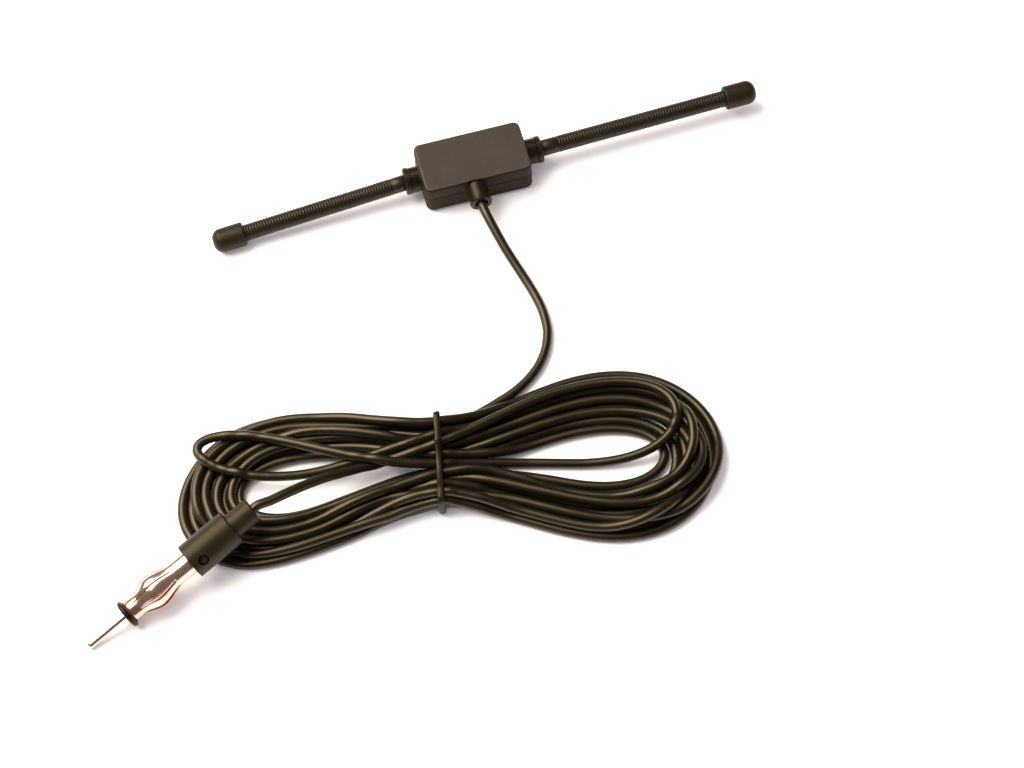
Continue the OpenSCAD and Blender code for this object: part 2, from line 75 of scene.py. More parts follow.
# The outer and the inner edge of the bundle round each lobe, from tie to tie
LEFT_OUTER = [(-57, -107.5), (-72, -102.5), (-86, -97.5), (-100, -92.5), (-113, -90.7), (-125, -92.5),
              (-137, -100), (-145.5, -110), (-149, -121), (-147, -133), (-139, -144), (-127, -148),
              (-111, -148.5), (-95, -147), (-79, -144), (-62, -143.5)]
LEFT_INNER = [(-57, -117), (-68, -115.5), (-79, -112.5), (-90, -109.5), (-101, -108), (-112, -107.5),
              (-122, -109.5), (-129, -114.5), (-131, -121.5), (-129, -128), (-121.5, -133),
              (-110, -135.5), (-97, -135.3), (-85, -133), (-72, -131), (-60, -131)]
RIGHT_OUTER = [(-40, -147), (-27, -153.5), (-12.5, -164), (2, -172.5), (16, -178.5), (30, -179), (43, -175),
               (54, -164.5), (60, -151), (60, -137), (55, -124.5), (45, -114), (32, -108.5), (14, -106.8),
               (-6, -109.3), (-28, -113)]
RIGHT_INNER = [(-36, -134.5), (-21.5, -139), (-7.5, -146.5), (5, -152.5), (14, -156), (24, -158), (33, -157),
               (40, -153.5), (44.5, -147.5), (44, -140.5), (38, -135.5), (29, -131.5), (17, -128.5),
               (2, -127), (-14, -128), (-31.5, -129)]
# Where each turn lies in its bundle, from 0 at the outer edge to 1 at the inner edge:
# left lobe back, end and front, then right lobe front, end and back
TURNS = [(0.00, 0.00, 0.00, 0.20, 0.30, 0.40), (0.45, 0.50, 0.50, 0.60, 0.75, 0.85),
         (0.95, 1.00, 1.00, 1.00, 1.00, 1.00), (0.85, 0.75, 0.75, 0.45, 0.60, 0.60),
         (0.30, 0.12, 0.12, 0.00, 0.12, 0.15), (0.20, 0.38, 0.38, 0.33, 0.00, 0.00),
         (0.08, 0.25, 0.25, 0.12, 0.42, 0.75), (0.65, 0.88, 0.88, 0.70, 0.20, 0.50),
         (0.60, 0.62, 0.62, 0.90, 0.52, 0.28)]
TURN_LIFT, FIRST_HEIGHT = 3.0, 2.05
# The loose loops' rise above the last turn at their middle and at their end, in turns
LOOPS_TOP, LOOPS_LAST = 2.6, 1.4
# The two loose loops that lie on top, and the cable's last stretch to the plug
LEFT_LOOP = [(-56.9, -118.0), (-64.3, -118.1), (-72, -118.4), (-81.1, -119.6), (-93.3, -119.7),
             (-101.3, -119.0), (-108.9, -117.3), (-117, -114.5), (-125, -111.4), (-132, -108.6),
             (-138, -105.6), (-142, -101.4), (-142.6, -96.2), (-139.4, -91.9), (-134, -90.6),
             (-127.5, -92.6), (-120.3, -96.2), (-112.9, -99.9), (-105.6, -103.4), (-98.4, -107.1),
             (-91.3, -111.3), (-84.1, -115.6), (-76.9, -119.8), (-69.5, -123.5), (-58, -127.5)]
RIGHT_LOOP = [(-39.1, -130.3), (-31.5, -131.4), (-16.4, -134.8), (-1.3, -139.2), (13.9, -143.3),
              (25.6, -145.6), (35, -145.6), (43.2, -143.9), (49, -139.8), (52, -134), (51.8, -127.5),
              (47.5, -121.6), (41.8, -118), (36.9, -115.8), (30.9, -113.9), (23.0, -112.6), (14.9, -112.1),
              (6.7, -112.1), (-1.7, -112.8), (-10.2, -113.9), (-18.9, -115.8), (-27.7, -118.6),
              (-36.4, -120.7)]
TAIL = [(-53.2, -122.3, 27), (-59, -122.0, 21), (-65.7, -122.0, 14), (-71, -122.6, 9), (-77.9, -123.7, 8.4),
        (-85.9, -124.6, 10.9), (-94.0, -126.3, 13.7), (-102.2, -128.8, 16.4), (-106.3, -130.3, 17.8),
        (-110.5, -131.6, 18.7), (-114.7, -132.8, 19.3)]
LEAD_FIXED, TAIL_FIXED, LOOPS_LENGTH = 80, 44, 520
# Where the cable crosses the tie: the lead, then the start, middle and end of the loose loops
LEAD_AT_TIE, LOOP_START, LOOP_MIDDLE, LOOP_END = -112.2, -118.0, -129.1, -122.6
# The turns' places in the tie: the first one and the step between two, at the front and at the back
TIE_FRONT, TIE_BACK = (-144.9, 3.8), (-127.4, 3.7)
# How far the cable sinks in each step, and how firmly it keeps its route, at first and at last
SINK, FIRST_PULL, LAST_PULL = 0.14, 0.10, 0.015

TIE_X, TIE_Y, TIE_SPAN, TIE_T, TIE_H, TIE_SLANT = -47.0, -128.5, 39.6, 1.3, 14.0, 0.2

PLUG_TIP = np.array([-195.4, -165.4, 1.6])
PLUG_AXIS = np.array([0.90001, 0.37833, 0.21644])
# Distances from the tip of the pin, and the radii of the parts that the cable keeps off
SHELL_FROM, SLEEVE_FROM, SLEEVE_TO, PLUG_END = 20.0, 50.5, 71.4, 81.8
BULGE_R, SLEEVE_R, REAR_R = 7.1, 7.3, 5.1


def curve_spans(before, start, end, after, per_span):
    """A curve's points from each start to each end, led by the points before and after them."""
    t = np.arange(per_span)[:, None] / per_span
    return [0.5 * (2 * b + (c - a) * t + (2 * a - 5 * b + 4 * c - d) * t ** 2
                   + (3 * b - a - 3 * c + d) * t ** 3)
            for a, b, c, d in zip(before, start, end, after)]


def smooth_curve(points, per_span):
    """A curve through all the points, as a dense list."""
    p = np.asarray(points, float)
    q = np.vstack([2 * p[0] - p[1], p, 2 * p[-1] - p[-2]])
    return np.vstack(curve_spans(q, q[1:], q[2:], q[3:], per_span) + [p[-1:]])


def run_lengths(p):
    return np.concatenate([[0], np.cumsum(np.linalg.norm(np.diff(p, axis=0), axis=1))])


def evenly(p, step):
    """The same path with points an equal distance apart."""
    s = run_lengths(p)
    u = np.linspace(0, s[-1], max(int(round(s[-1] / step)), 2) + 1)
    return np.stack([np.interp(u, s, p[:, k]) for k in range(3)], 1)


def lobe_run(outer, inner, first, end, last):
    """One turn's way round a lobe, between the bundle's outer and inner edge."""
    outer, inner = np.array(outer, float), np.array(inner, float)
    u = np.linspace(0, 1, len(outer))
    f = np.interp(u, [0, 0.25, 0.5, 0.75, 1], [first, first, end, last, last])[:, None]
    return np.column_stack([outer * (1 - f) + inner * f, np.zeros(len(u))])


def tie_places(keys, first, step):
    """Side by side places in the tie, two deep, in the order in which the turns come to it."""
    out = np.zeros(len(keys))
    for rank, k in enumerate(np.argsort(keys)):
        out[k] = first + step * (rank // 2)
    return out


def tie_line(y):
    """The tie runs slightly aslant across the turns."""
    return TIE_X + TIE_SLANT * (y - TIE_Y)


def under_plug(xy):
    """How much of its height a strand keeps: almost none below the plug, all of it far away."""
    axis = PLUG_AXIS[:2] / np.linalg.norm(PLUG_AXIS[:2])
    rel = np.asarray(xy) - PLUG_TIP[:2]
    along = np.clip(rel @ axis, SHELL_FROM, PLUG_END)
    away = np.linalg.norm(rel - along[:, None] * axis, axis=1)
    return np.clip((away - 8) / 32, 0.1, 1)


def wound_path():
    """The whole cable before it settles: each turn is lifted above the last one."""
    lift, low = TURN_LIFT, FIRST_HEIGHT
    n = len(TURNS)
    left = [lobe_run(LEFT_OUTER, LEFT_INNER, *t[:3]) for t in TURNS]
    right = [lobe_run(RIGHT_OUTER, RIGHT_INNER, *t[3:]) for t in TURNS]
    front = [0.5 * (left[k][-1, 1] + right[k][0, 1]) for k in range(n)]
    back = [-109.0] + [0.5 * (right[k][-1, 1] + left[k + 1][0, 1]) for k in range(n - 1)]
    front, back = tie_places(front, *TIE_FRONT), tie_places(back, *TIE_BACK)
    path = list(LEAD) + [(tie_line(LEAD_AT_TIE), LEAD_AT_TIE, 3)]
    for k in range(n):
        z = low + k * lift
        left[k][:, 2] = low + k * lift * under_plug(left[k][:, :2])
        right[k][:, 2] = z
        path += [tuple(v) for v in left[k]] + [(tie_line(front[k]), front[k], z)]
        path += [tuple(v) for v in right[k]]
        y = back[k + 1] if k + 1 < n else LOOP_START
        path += [(tie_line(y), y, z + lift / 2)]
    m = len(LEFT_LOOP) - 1
    path += [(x, y, z + lift + (LOOPS_TOP - 1) * lift * i / m) for i, (x, y) in enumerate(LEFT_LOOP)]
    path += [(tie_line(LOOP_MIDDLE), LOOP_MIDDLE, z + LOOPS_TOP * lift)]
    m = len(RIGHT_LOOP) - 1
    path += [(x, y, z + lift * (LOOPS_TOP - (LOOPS_TOP - LOOPS_LAST) * i / m))
             for i, (x, y) in enumerate(RIGHT_LOOP)]
    path += [(tie_line(LOOP_END), LOOP_END, z + LOOPS_LAST * lift)]
    path += TAIL + [tuple(PLUG_TIP + PLUG_AXIS * (PLUG_END + k)) for k in (2.5, 0, -4)]
    return np.array(path)


def near_pairs(p, reach, skip):
    """Pairs of points of the cable that are close to each other, found cell by cell."""
    cell = np.floor(p / reach).astype(int)
    cell -= cell.min(0)
    n = cell.max(0) + 3
    key = ((cell[:, 0] + 1) * n[1] + cell[:, 1] + 1) * n[2] + cell[:, 2] + 1
    order = np.argsort(key, kind="stable")
    ordered = key[order]
    found = []
    for dx in (-1, 0, 1):
        for dy in (-1, 0, 1):
            for dz in (-1, 0, 1):
                t = key + (dx * n[1] + dy) * n[2] + dz
                low = np.searchsorted(ordered, t, "left")
                count = np.searchsorted(ordered, t, "right") - low
                if not count.sum():
                    continue
                i = np.repeat(np.arange(len(p)), count)
                within = np.arange(count.sum()) - np.repeat(np.cumsum(count) - count, count)
                j = order[np.repeat(low, count) + within]
                keep = j - i > skip
                i, j = i[keep], j[keep]
                keep = np.linalg.norm(p[i] - p[j], axis=1) < reach
                found.append(np.stack([i[keep], j[keep]], 1))
    return np.vstack(found)


def stiffen(p, fixed, m, w):
    """Takes kinks out without pulling the loops smaller."""
    q = p.copy()
    l = np.zeros_like(p)
    l[m:-m] = 0.5 * (p[2 * m:] + p[:-2 * m]) - p[m:-m]
    q[2 * m:-2 * m] -= w * (0.5 * (l[3 * m:-m] + l[m:-3 * m]) - l[2 * m:-2 * m])
    return np.where(fixed[:, None], p, q)


def part_strands(p, pairs, fixed):
    """Pushes strands apart that cut into each other. Stacked ones rub, so they mostly part upwards."""
    gap = CABLE_D * 1.01
    i, j = pairs[:, 0], pairs[:, 1]
    d = p[j] - p[i]
    l = np.linalg.norm(d, axis=1) + 1e-9
    hit = l < gap
    i, j, d, l = i[hit], j[hit], d[hit], l[hit]
    c = (0.5 * (gap - l) / l)[:, None] * d
    stacked = np.abs(d[:, 2]) > 0.35 * l
    c[stacked, :2] *= 0.3
    c[stacked, 2] *= 1.5
    move, count = np.zeros_like(p), np.zeros(len(p))
    np.add.at(move, i, -c)
    np.add.at(move, j, c)
    np.add.at(count, i, 1)
    np.add.at(count, j, 1)
    move /= np.maximum(count, 1)[:, None] ** 0.5
    move[fixed] = 0
    p += 0.8 * move
    p[:, 2] = np.maximum(p[:, 2], np.where(fixed, p[:, 2], CABLE_R + 0.05))


def hold_in_tie(p, fixed, roof):
    """Keeps what passes through the tie inside it."""
    half = TIE_SPAN / 2 - TIE_T - CABLE_R
    near = (np.abs(p[:, 0] - tie_line(p[:, 1])) < 3.5) & ~fixed
    p[near, 1] = np.clip(p[near, 1], TIE_Y - half, TIE_Y + half)
    p[near, 2] = np.clip(p[near, 2], TIE_T + 0.1 + CABLE_R, roof)


def keep_off_plug(p, fixed, down):
    """Keeps the turns outside the plug that lies on them, and guides them below it."""
    t = (p - PLUG_TIP) @ PLUG_AXIS
    off = p - PLUG_TIP - t[:, None] * PLUG_AXIS
    r = np.linalg.norm(off, axis=1)
    need = np.select([(t > SHELL_FROM) & (t < SLEEVE_FROM), (t >= SLEEVE_FROM) & (t < SLEEVE_TO),
                      (t >= SLEEVE_TO) & (t < PLUG_END)], [BULGE_R, SLEEVE_R, REAR_R], -50)
    need = need + CABLE_R + 0.1
    inside = (r < need) & ~fixed
    p[inside] += ((need - r)[inside] / np.maximum(r[inside], 1e-6))[:, None] * off[inside] * 0.5
    p[inside] += 0.15 * down


def settle(p, steps):
    """Lets the wound cable sink onto the floor, turn on turn, squeezed where the tie holds it."""
    n = len(p)
    rest = np.linalg.norm(np.diff(p, axis=0), axis=1).mean()
    fixed = np.zeros(n, bool)
    fixed[:int(LEAD_FIXED / rest)] = True
    fixed[-int(TAIL_FIXED / rest):] = True
    loops = np.arange(n) > n - LOOPS_LENGTH / rest
    hold = np.where(loops, 4.0, 1.0)
    for _ in range(40):
        p = stiffen(p, fixed, 4, 0.3)
    guide = p.copy()
    down = np.array([0, 0, -1.0]) + PLUG_AXIS * PLUG_AXIS[2]
    down /= np.linalg.norm(down)
    for it in range(steps):
        if it % 8 == 0:
            pairs = near_pairs(p, CABLE_D * 1.8, 6)
        a = it / steps
        p[:, 2] -= np.where(fixed, 0, SINK)
        pull = (FIRST_PULL if a < 0.8 else LAST_PULL) * hold * ~fixed
        p[:, :2] += pull[:, None] * (guide - p)[:, :2]
        for m, w in ((6, 0.08), (3, 0.3), (1, 0.3)):
            p = stiffen(p, fixed, m, w)
        for m in (9, 6):
            p[loops, 2] = stiffen(p, fixed, m, 0.3)[loops, 2]
        roof = max(TIE_H - TIE_T - CABLE_R, 40 * (1 - 2.2 * a))
        for _ in range(6):
            part_strands(p, pairs, fixed)
            hold_in_tie(p, fixed, roof)
            keep_off_plug(p, fixed, down)
    return p


def tube_mesh(name, path, radius, sides):
    """A round tube along a path, in metres, with a UV map that runs along and round it."""
    p = np.asarray(path, float)
    n = len(p)
    tangent = np.gradient(p, axis=0)
    tangent /= np.linalg.norm(tangent, axis=1, keepdims=True)
    side = np.cross(tangent[0], (0, 0, 1.0))
    side /= np.linalg.norm(side)
    rings, angle = [], np.linspace(0, 2 * math.pi, sides, endpoint=False)
    for k in range(n):
        side = side - tangent[k] * side.dot(tangent[k])
        side /= np.linalg.norm(side)
        up = np.cross(side, tangent[k])
        rings.append(p[k] + radius * (np.cos(angle)[:, None] * side + np.sin(angle)[:, None] * up))
    k = np.arange(n - 1)[:, None] * sides
    j = np.arange(sides)[None, :]
    nxt = (j + 1) % sides
    faces = np.stack([k + j, k + sides + j, k + sides + nxt, k + nxt], -1).reshape(-1, 4)
    ends = [tuple(range(sides)), tuple((n - 1) * sides + i for i in reversed(range(sides)))]
    mesh = bpy.data.meshes.new(name)
    mesh.from_pydata([tuple(v) for v in np.vstack(rings)], [], [tuple(f) for f in faces] + ends)
    mesh.update()
    s = run_lengths(p)
    u0, u1 = np.repeat(s[:-1], sides), np.repeat(s[1:], sides)
    v0 = np.tile(np.arange(sides) / sides, n - 1)
    v1 = v0 + 1 / sides
    quads = np.stack([u0, v0, u1, v0, u1, v1, u0, v1], 1).reshape(-1)
    flat = np.zeros(len(mesh.loops) * 2)
    flat[:len(quads)] = quads
    mesh.uv_layers.new(name="UVMap").data.foreach_set("uv", flat)
    mesh.polygons.foreach_set("use_smooth", [True] * len(faces) + [False] * len(ends))
    obj = bpy.data.objects.new(name, mesh)
    bpy.context.collection.objects.link(obj)
    return obj


WOUND_STEP, TUBE_STEP, TUBE_SIDES = 1.9, 1.35, 14
settled = settle(evenly(smooth_curve(wound_path(), 8), WOUND_STEP), 400)
cable_path = evenly(smooth_curve(settled, 2), TUBE_STEP) * MM
cable = tube_mesh("cable", cable_path, CABLE_R * MM, TUBE_SIDES)
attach(cable, "root")
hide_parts("cable_lead", "cable_hank", "cable_tail")


# ---------------------------------------------------------------- materials
class Maths:
    """A number inside a material: sums and products of it become Math nodes."""

    def __init__(self, made, socket):
        self.made, self.socket = made, socket

    def _do(self, operation, other=None, third=None, swap=False):
        node = self.made.tree.nodes.new("ShaderNodeMath")
        node.operation = operation
        values = [v for v in ((other, self, third) if swap else (self, other, third)) if v is not None]
        for slot, value in zip(node.inputs, values):
            if isinstance(value, Maths):
                self.made.tree.links.new(value.socket, slot)
            else:
                slot.default_value = value
        return Maths(self.made, node.outputs[0])

    def __add__(self, o): return self._do("ADD", o)
    def __radd__(self, o): return self._do("ADD", o, swap=True)
    def __sub__(self, o): return self._do("SUBTRACT", o)
    def __rsub__(self, o): return self._do("SUBTRACT", o, swap=True)
    def __mul__(self, o): return self._do("MULTIPLY", o)
    def __rmul__(self, o): return self._do("MULTIPLY", o, swap=True)
    def power(self, o): return self._do("POWER", o)
    def absolute(self): return self._do("ABSOLUTE")
    def largest(self, o): return self._do("MAXIMUM", o)

    def ramp(self, low, high, out_low=0.0, out_high=1.0):
        node = self.made.tree.nodes.new("ShaderNodeMapRange")
        node.interpolation_type = "SMOOTHSTEP"
        for k, v in enumerate((low, high, out_low, out_high)):
            node.inputs[k + 1].default_value = v
        self.made.tree.links.new(self.socket, node.inputs[0])
        return Maths(self.made, node.outputs[0])


class Finish:
    """A material under construction."""

    def __init__(self, name, **fixed):
        self.material = bpy.data.materials.new(name)
        self.material.use_nodes = True
        self.tree = self.material.node_tree
        self.shader = self.tree.nodes["Principled BSDF"]
        for key, value in fixed.items():
            self.shader.inputs[key.replace("_", " ")].default_value = value

    def node(self, kind, inputs=(), **settings):
        made = self.tree.nodes.new(kind)
        for key, value in settings.items():
            setattr(made, key, value)
        for key, value in dict(inputs).items():
            if isinstance(value, Maths):
                value = value.socket
            if isinstance(value, bpy.types.NodeSocket):
                self.tree.links.new(value, made.inputs[key])
            else:
                made.inputs[key].default_value = value
        return made

    def place(self, kind="Object"):
        return self.node("ShaderNodeTexCoord").outputs[kind]

    def reads(self, name):
        return Maths(self, self.node("ShaderNodeAttribute", attribute_name=name).outputs["Fac"])

    def split(self, vector):
        made = self.node("ShaderNodeSeparateXYZ", {"Vector": vector})
        return [Maths(self, s) for s in made.outputs]

    def noise(self, scale, detail=3.0, rough=0.55, where=None):
        made = self.node("ShaderNodeTexNoise", {"Vector": where or self.place(), "Scale": scale,
                                                "Detail": detail, "Roughness": rough})
        return Maths(self, made.outputs["Fac"])

    def blend(self, amount, first, second):
        made = self.node("ShaderNodeMix", data_type="RGBA")
        for slot, value in (("Factor", amount), ("A", first), ("B", second)):
            target = [s for s in made.inputs if s.name == slot and s.enabled][0]
            if isinstance(value, Maths):
                value = value.socket
            if isinstance(value, bpy.types.NodeSocket):
                self.tree.links.new(value, target)
            else:
                target.default_value = value if slot == "Factor" else (*value, 1.0)
        return [s for s in made.outputs if s.enabled][0]

    def set(self, key, value):
        self.tree.links.new(value.socket if isinstance(value, Maths) else value, self.shader.inputs[key])

    def bump(self, height, distance):
        made = self.node("ShaderNodeBump", {"Height": height, "Distance": distance})
        self.set("Normal", made.outputs["Normal"])


# What the dark plastics and rubbers mirror is brownish, and reddest on the housing
WARM_SHEEN = (1.0, 0.79, 0.50, 1.0)
COVER_SHEEN = (1.0, 0.80, 0.46, 1.0)
ARM_SHEEN = (1.0, 0.85, 0.60, 1.0)
JACKET_SHEEN = (1.0, 0.84, 0.55, 1.0)


def plastic(name, dark, light, rough=0.45, rough_spread=0.08, grain=900.0, grain_depth=0.00002):
    """Moulded plastic or rubber: a fine grain, slow changes of tone and a slightly uneven gloss."""
    f = Finish(name, Specular_IOR_Level=0.30, Specular_Tint=WARM_SHEEN)
    slow, fine = f.noise(40, 3, 0.6), f.noise(grain, 2, 0.5)
    f.set("Base Color", f.blend((slow * 0.75 + fine * 0.25).ramp(0.3, 0.7), dark, light))
    f.set("Roughness", slow * (2 * rough_spread) + fine * 0.06 + (rough - rough_spread - 0.03))
    f.bump(fine, grain_depth)
    return f.material


def cover(name):
    """The housing: grained on top and smoother on its sides, with glossy stubs, and with light and shade
    painted in.
    Its zones are found by their places in metres."""
    f = Finish(name, Specular_IOR_Level=0.25, Specular_Tint=COVER_SHEEN)
    x, y, z = f.split(f.place())
    upward = f.split(f.place("Normal"))[2]
    slow, fine = f.noise(40, 3, 0.6), f.noise(1500, 2, 0.5)
    flat = upward.ramp(0.55, 0.98)
    # Painted highlight: the rounded top edge is painted lighter, and it is also glossier.
    rim_highlight = upward.ramp(0.6, 0.85) * upward.ramp(0.99, 0.93)
    # Painted shade: a dark band in the groove between the two covers.
    groove = z.ramp(0.0090, 0.0092) * z.ramp(0.0098, 0.0096)
    # Painted shade: a dark band on the sides just below the top edge.
    shade_below_rim = z.ramp(0.0128, 0.0146) * upward.ramp(0.25, 0.05)
    stub = x.absolute().ramp(0.0229, 0.0232)
    # Painted shadow: a dark ring on the front face round the root of the gland.
    gland = ((x + 0.0015).power(2.0) + (z - 0.0114).power(2.0)).power(0.5).ramp(0.0068, 0.0045)
    gland = gland * (y + 0.0115).ramp(0.001, -0.0002)
    grain = (slow * 0.7 + fine * 0.3).ramp(0.3, 0.7)
    # Painted shade: faces that point sideways are painted much darker than the top.
    top = f.blend(grain, (0.0270, 0.0238, 0.0220), (0.0360, 0.0322, 0.0305))
    side = f.blend(grain, (0.0055, 0.0043, 0.0022), (0.0090, 0.0072, 0.0040))
    tone = f.blend(flat, side, top)
    tone = f.blend(rim_highlight * 0.8, tone, (0.055, 0.047, 0.038))
    tone = f.blend((shade_below_rim * 0.8).largest(gland * 0.85).largest(groove), tone, (0.0015, 0.0011, 0.0006))
    f.set("Base Color", f.blend(stub, tone, (0.007, 0.0052, 0.003)))
    f.set("Roughness", slow * 0.1 + fine * 0.06 + 0.54 - stub * 0.22 - rim_highlight * 0.12)
    f.bump(fine * flat, 0.00004)
    return f.material


# The snap nub's place on the sleeve in metres, the way it points and the side where its recess is dark
NUB, NUB_OUT, NUB_SHADE = (-0.14454, -0.15, 0.01822), (0.162, -0.751, 0.641), (-0.948, 0.063, 0.313)


def sleeve(name):
    """The plug's sleeve: as the rubber parts, with a shaded side in the recess round its snap nub."""
    f = Finish(name, Specular_IOR_Level=0.30, Specular_Tint=WARM_SHEEN)
    slow, fine = f.noise(40, 3, 0.6), f.noise(1500, 2, 0.5)
    tone = (slow * 0.75 + fine * 0.25).ramp(0.3, 0.7)
    tone = f.blend(tone, (0.008, 0.0065, 0.0038), (0.014, 0.0115, 0.0072))
    place = [p - c for p, c in zip(f.split(f.place()), NUB)]
    along, across = [place[0] * d[0] + place[1] * d[1] + place[2] * d[2] for d in (NUB_OUT, NUB_SHADE)]
    away = place[0].power(2.0) + place[1].power(2.0) + place[2].power(2.0) - along * along
    recess = away.largest(0.0).power(0.5).ramp(0.0021, 0.0019) * across.ramp(-0.0002, 0.0006)
    f.set("Base Color", f.blend(recess, tone, (0.0008, 0.0006, 0.0004)))
    f.set("Roughness", slow * 0.12 + fine * 0.06 + recess * 0.4 + 0.37)
    f.bump(fine, 0.00002)
    return f.material


def ribbed(name):
    """Arm rubber with painted shade down in its grooves."""
    f = Finish(name, Specular_IOR_Level=0.42, Specular_Tint=ARM_SHEEN)
    slow, fine = f.noise(60, 3, 0.6), f.noise(1600, 2, 0.5)
    groove = f.reads("groove")
    tone = (slow * 0.7 + fine * 0.3).ramp(0.3, 0.7)
    tone = f.blend(tone, (0.006, 0.0047, 0.0027), (0.012, 0.0098, 0.0062))
    # Painted shade: the grooves between the ribs are painted nearly black.
    f.set("Base Color", f.blend(groove.ramp(0.3, 0.95) * 0.9, tone, (0.002, 0.0015, 0.001)))
    f.set("Roughness", slow * 0.14 + fine * 0.06 + groove * 0.2 + 0.34)
    f.bump(fine, 0.00001)
    return f.material


def plated(name):
    """Nickel plate, with a painted reflection: a copper tint along the edges of the leaves."""
    f = Finish(name, Metallic=0.92)
    slow, fine = f.noise(150, 3, 0.6), f.noise(2000, 2, 0.5)
    # Painted reflection: a copper tint along the leaves' edges, broken up by noise.
    painted_copper_edges = (f.reads("edge") + slow * 0.7 - 0.35).ramp(0.25, 0.95)
    clean = f.blend(slow.ramp(0.3, 0.7), (0.88, 0.72, 0.63), (0.74, 0.55, 0.45))
    f.set("Base Color", f.blend(painted_copper_edges, clean, (0.60, 0.31, 0.19)))
    f.set("Roughness", slow * 0.12 + fine * 0.04 + 0.12)
    f.bump(fine, 0.000004)
    return f.material


def metal(name, colour, tint, rough):
    """Bare metal with fine handling marks and a faint stain."""
    f = Finish(name, Metallic=1.0)
    slow, fine = f.noise(120, 3, 0.6), f.noise(2080, 2, 0.5)
    f.set("Base Color", f.blend(slow.ramp(0.35, 0.75), colour, tint))
    f.set("Roughness", slow * 0.10 + fine * 0.05 + (rough - 0.06))
    f.bump(fine, 0.000004)
    return f.material


def jacket(name):
    """Extruded cable jacket: faint lines along it and slow changes of gloss."""
    f = Finish(name, Specular_IOR_Level=0.62, Specular_Tint=JACKET_SHEEN)
    along, round_it, _ = f.split(f.place("UV"))
    drawn = f.node("ShaderNodeCombineXYZ", {"X": along * 18.0, "Y": round_it * 26.0}).outputs[0]
    lines, slow, fine = f.noise(1.0, 2, 0.5, drawn), f.noise(60, 3, 0.6), f.noise(2200, 2, 0.5)
    tone = (slow * 0.6 + lines * 0.4).ramp(0.3, 0.7)
    f.set("Base Color", f.blend(tone, (0.004, 0.003, 0.0015), (0.009, 0.007, 0.0042)))
    f.set("Roughness", slow * 0.12 + lines * 0.10 + 0.28)
    f.bump(lines * 0.7 + fine * 0.3, 0.00003)
    return f.material


LOOKS = {
    "cover": cover("cover_plastic"),
    "collar": plastic("collar_plastic", (0.005, 0.004, 0.002), (0.009, 0.0072, 0.0045), 0.40, 0.06,
                      1500, 0.00001),
    "arm": ribbed("arm_rubber"),
    "cap": plastic("cap_rubber", (0.008, 0.0065, 0.0038), (0.013, 0.0108, 0.0068), 0.50, 0.06, 1500),
    "tie": plastic("tie_plastic", (0.005, 0.004, 0.002), (0.010, 0.008, 0.005), 0.40, 0.06, 1500, 0.00001),
    "plug": sleeve("plug_plastic"),
    "washer": plastic("washer_plastic", (0.004, 0.003, 0.002), (0.008, 0.006, 0.005), 0.35, 0.06,
                      1500, 0.00001),
    "board": plastic("board", (0.02, 0.12, 0.06), (0.04, 0.19, 0.10), 0.35),
    "ferrite": plastic("ferrite", (0.02, 0.02, 0.02), (0.05, 0.05, 0.05), 0.7),
    "nickel": plated("nickel"),
    "brass": metal("brass", (0.72, 0.56, 0.26), (0.60, 0.43, 0.18), 0.25),
    "steel": metal("steel", (0.60, 0.60, 0.60), (0.50, 0.50, 0.52), 0.30),
    "jacket": jacket("cable_jacket"),
}
WORN_BY = {
    "cover": ["upper_cover", "lower_cover"],
    "collar": ["left_collar", "right_collar", "cable_gland"],
    "arm": ["left_arm", "right_arm"],
    "cap": ["left_cap", "right_cap"],
    "tie": ["hank_tie"],
    "plug": ["plug_carrier", "plug_sleeve"],
    "washer": ["plug_insulator", "plug_washer"],
    "board": ["circuit_board"],
    "ferrite": ["matching_core"],
    "nickel": ["plug_shell", "plug_pin"],
    "brass": ["left_contact", "right_contact"],
    "steel": ["cable_clamp", "left_core", "right_core"],
    "jacket": ["cable_lead", "cable_hank", "cable_tail"],
}


def put(obj, look):
    obj.data.materials.clear()
    obj.data.materials.append(LOOKS[look])


for look, nodes in WORN_BY.items():
    for node in nodes:
        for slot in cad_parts[node].material_slots:
            slot.material = LOOKS[look]
put(cable, "jacket")


# ---------------------------------------------------------------- the tie
STRAP_HALF_W, STRAP_HALF_T, STRAP_SIDES = 1.35, 0.65, 14
STRAP_TOP_REACH, STRAP_SIDE_REACH, STRAP_FLOOR_REACH, STRAP_SIDE_Z = 17.6, 19.1, 17.5, 2.6


def tie_route():
    """The strap's middle line: over the turns that settled inside it and back along the floor."""
    near = settled[np.abs(settled[:, 0] - tie_line(settled[:, 1])) < 2.2]
    top_y = np.linspace(TIE_Y - STRAP_TOP_REACH, TIE_Y + STRAP_TOP_REACH, 27)
    turns = []
    for y in top_y:
        d = near[np.abs(near[:, 1] - y) < CABLE_R]
        height = d[:, 2] + np.sqrt(np.maximum(CABLE_R ** 2 - (d[:, 1] - y) ** 2, 0))
        turns.append(height.max() if len(d) else 5.0)
    turns = np.array(turns)
    z = turns.copy()
    for _ in range(30):
        z = np.maximum(turns, np.convolve(np.pad(z, 1, mode="edge"), [0.25, 0.5, 0.25], "valid"))
    z = z + STRAP_HALF_T + 0.05
    back, front = TIE_Y + STRAP_SIDE_REACH, TIE_Y - STRAP_SIDE_REACH
    ring = list(zip(top_y, z)) + [(back, z[-1] - 2.2), (back, STRAP_SIDE_Z)]
    ring += [(y, STRAP_HALF_T + 0.15)
             for y in np.linspace(TIE_Y + STRAP_FLOOR_REACH, TIE_Y - STRAP_FLOOR_REACH, 12)]
    ring += [(front, STRAP_SIDE_Z), (front, z[0] - 2.0)]
    return np.array([(tie_line(y), y, h) for y, h in ring])


def closed_curve(points, per_span):
    """A closed curve through all the points, as a dense list."""
    p = np.asarray(points, float)
    return np.vstack(curve_spans(np.roll(p, 1, 0), p, np.roll(p, -1, 0), np.roll(p, -2, 0), per_span))


